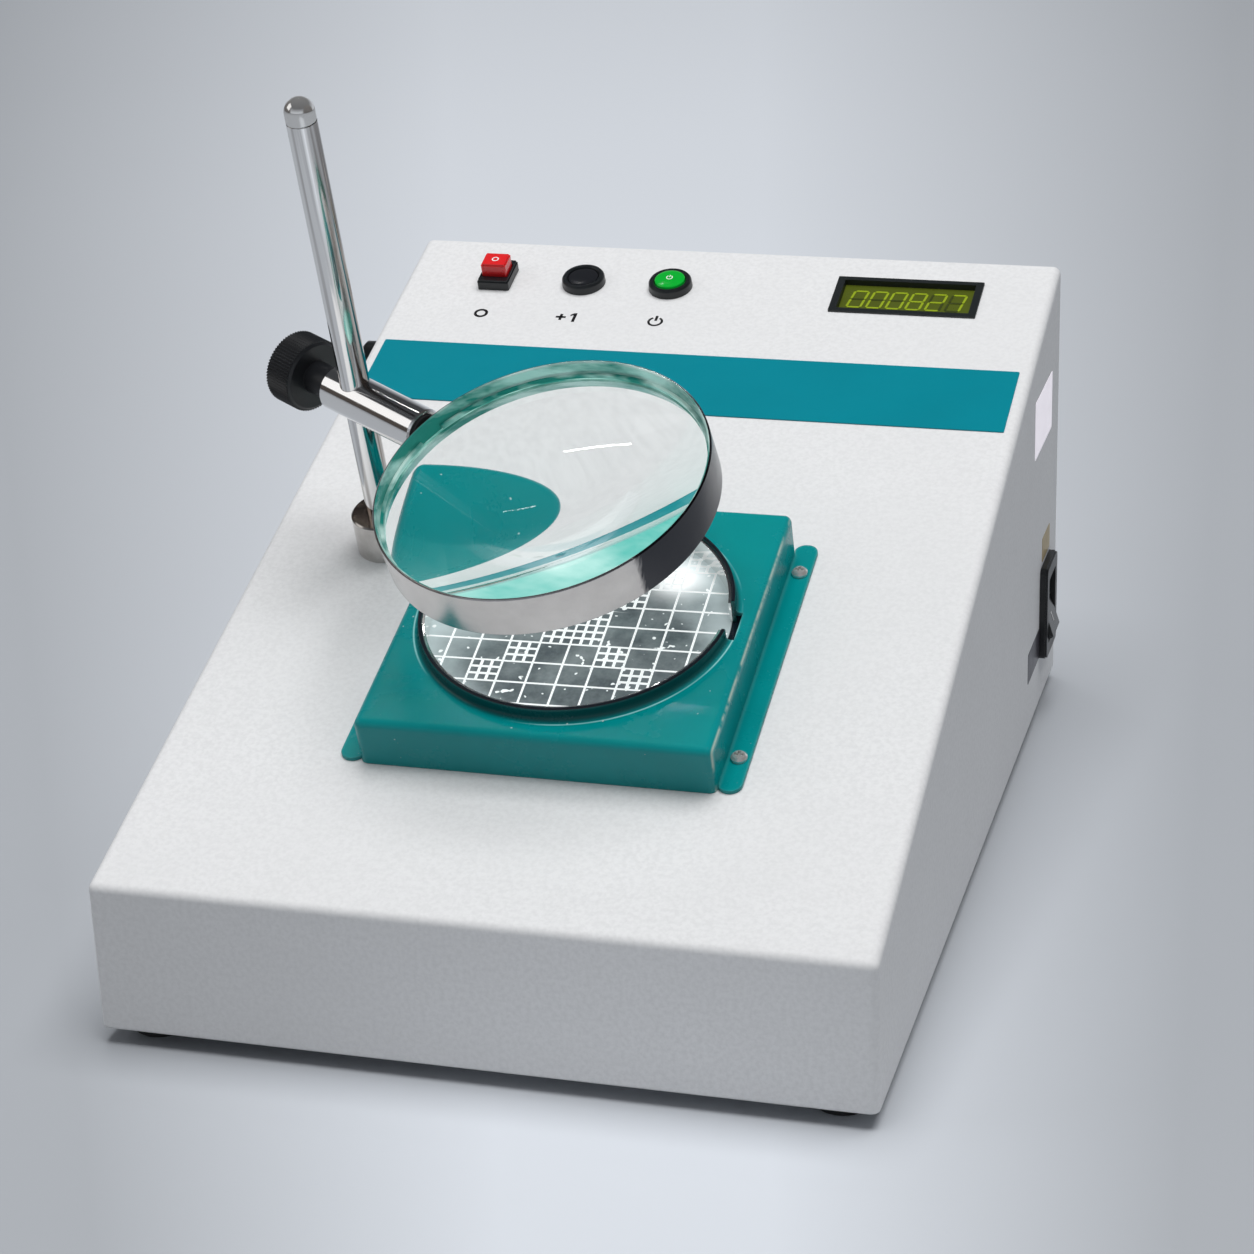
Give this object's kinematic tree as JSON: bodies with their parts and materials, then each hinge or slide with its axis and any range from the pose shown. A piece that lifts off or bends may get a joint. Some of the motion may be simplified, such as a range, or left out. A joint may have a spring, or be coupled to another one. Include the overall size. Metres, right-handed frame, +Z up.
{
  "type": "colony counter",
  "caption": "Sloping bench colony counter with a lit, gridded dish stage, push-button counter, digital display, and a round magnifier on a post.",
  "frame": {"origin": "centre of the whole object's footprint, on the surface it stands on", "axes": "+X to the right of someone facing the low front edge, +Y from the low front to the tall back, +Z up"},
  "size_m": [0.265, 0.355, 0.2789],
  "materials": {
    "white_powder_coat": "fine textured powder coat, satin",
    "zinc_sheet": "zinc-plated, dull",
    "teal_film": "printed film, satin",
    "teal_paint": "stoved enamel, glossy",
    "polished_chrome": "polished",
    "screw_steel": "bright zinc plate",
    "black_rubber": "moulded, matt",
    "black_plastic": "moulded, fine texture",
    "red_plastic": "moulded, glossy",
    "green_plastic": "moulded, translucent and glossy",
    "dark_button_plastic": "moulded, satin",
    "counting_glass": "clear, engraved with a white grid",
    "lens_glass": "clear, polished",
    "white_enamel": "matt white reflector paint",
    "white_rubber": "moulded, matt",
    "black_screen_paint": "matt black",
    "lamp_tube": "opal white",
    "display_glass": "dark olive display window, satin",
    "circuit_board": "green lacquered board",
    "component_plastic": "moulded",
    "core_iron": "varnished laminations",
    "coil_tape": "wound coil under yellow tape",
    "ballast_enamel": "grey enamel",
    "pin_brass": "nickel-plated pins"
  },
  "bodies": {
    "root": {"housing": "white_powder_coat", "base_plate": "zinc_sheet", "base_screws": "screw_steel", "feet": "black_rubber", "foot_screws": "screw_steel", "foot_nuts": "screw_steel", "graphic_strip": "teal_film", "stage_cover": "teal_paint", "stage_screws": "screw_steel", "dish_ring": "polished_chrome", "grid_glass": "counting_glass", "glass_seat": "white_rubber", "light_pan": "white_enamel", "dark_screen": "black_screen_paint", "ring_lamp": "lamp_tube", "lamp_clips": "screw_steel", "lamp_ballast": "ballast_enamel", "post_collar": "polished_chrome", "collar_nut": "screw_steel", "reset_switch_body": "black_plastic", "count_switch_body": "black_plastic", "power_switch_body": "black_plastic", "switch_nuts": "screw_steel", "display_bezel": "black_plastic", "display_cell": "display_glass", "display_board": "circuit_board", "counter_board": "circuit_board", "counter_parts": "component_plastic", "board_pillars": "screw_steel", "supply_board": "circuit_board", "supply_parts": "component_plastic", "supply_pillars": "screw_steel", "transformer_core": "core_iron", "transformer_coil": "coil_tape", "side_switch_frame": "black_plastic", "mains_inlet": "black_plastic", "inlet_pins": "pin_brass", "inlet_screws": "screw_steel", "pen_socket": "black_plastic", "pen_socket_nut": "screw_steel"},
    "post": {"post_rod": "polished_chrome", "post_cap": "polished_chrome"},
    "arm": {"clamp_arm": "polished_chrome", "friction_washer": "black_rubber"},
    "knob": {"clamp_knob": "black_plastic", "clamp_screw": "screw_steel"},
    "lens": {"lens_stud": "screw_steel", "lens_ring": "polished_chrome", "lens_retainer": "black_plastic", "magnifier_lens": "lens_glass"},
    "reset_button": {"reset_cap": "red_plastic"},
    "count_button": {"count_cap": "dark_button_plastic"},
    "power_button": {"power_cap": "green_plastic"},
    "side_rocker": {"side_rocker": "dark_button_plastic"}
  },
  "joints": [
    {"name": "post_swivel", "type": "hinge", "parent": "root", "child": "post", "pos_m": [-0.07865, -0.01025, 0.10952], "axis": [0, -0.3048, 0.9524], "continuous": true},
    {"name": "arm_height", "type": "slide", "parent": "post", "child": "arm", "axis": [0, -0.3048, 0.9524], "range_m": [-0.01, 0.095]},
    {"name": "knob_turn", "type": "hinge", "parent": "arm", "child": "knob", "pos_m": [-0.07865, -0.02927, 0.16895], "axis": [0.8686, -0.4719, -0.151], "range_deg": [0, 360]},
    {"name": "lens_tilt", "type": "hinge", "parent": "arm", "child": "lens", "pos_m": [-0.07865, -0.02927, 0.16895], "axis": [0.8686, -0.4719, -0.151], "range_deg": [-36, 20]},
    {"name": "reset_press", "type": "slide", "parent": "root", "child": "reset_button", "axis": [0, 0.3048, -0.9524], "range_m": [0, 0.002], "stiffness_N_per_m": 500, "springref_m": -0.001},
    {"name": "count_press", "type": "slide", "parent": "root", "child": "count_button", "axis": [0, 0.3048, -0.9524], "range_m": [0, 0.002], "stiffness_N_per_m": 500, "springref_m": -0.001},
    {"name": "power_press", "type": "slide", "parent": "root", "child": "power_button", "axis": [0, 0.3048, -0.9524], "range_m": [0, 0.002], "stiffness_N_per_m": 500, "springref_m": -0.001},
    {"name": "side_rocker_tilt", "type": "hinge", "parent": "root", "child": "side_rocker", "pos_m": [0.12505, 0.1427, 0.0422], "axis": [0, 1, 0], "range_deg": [0, 18]}
  ]
}
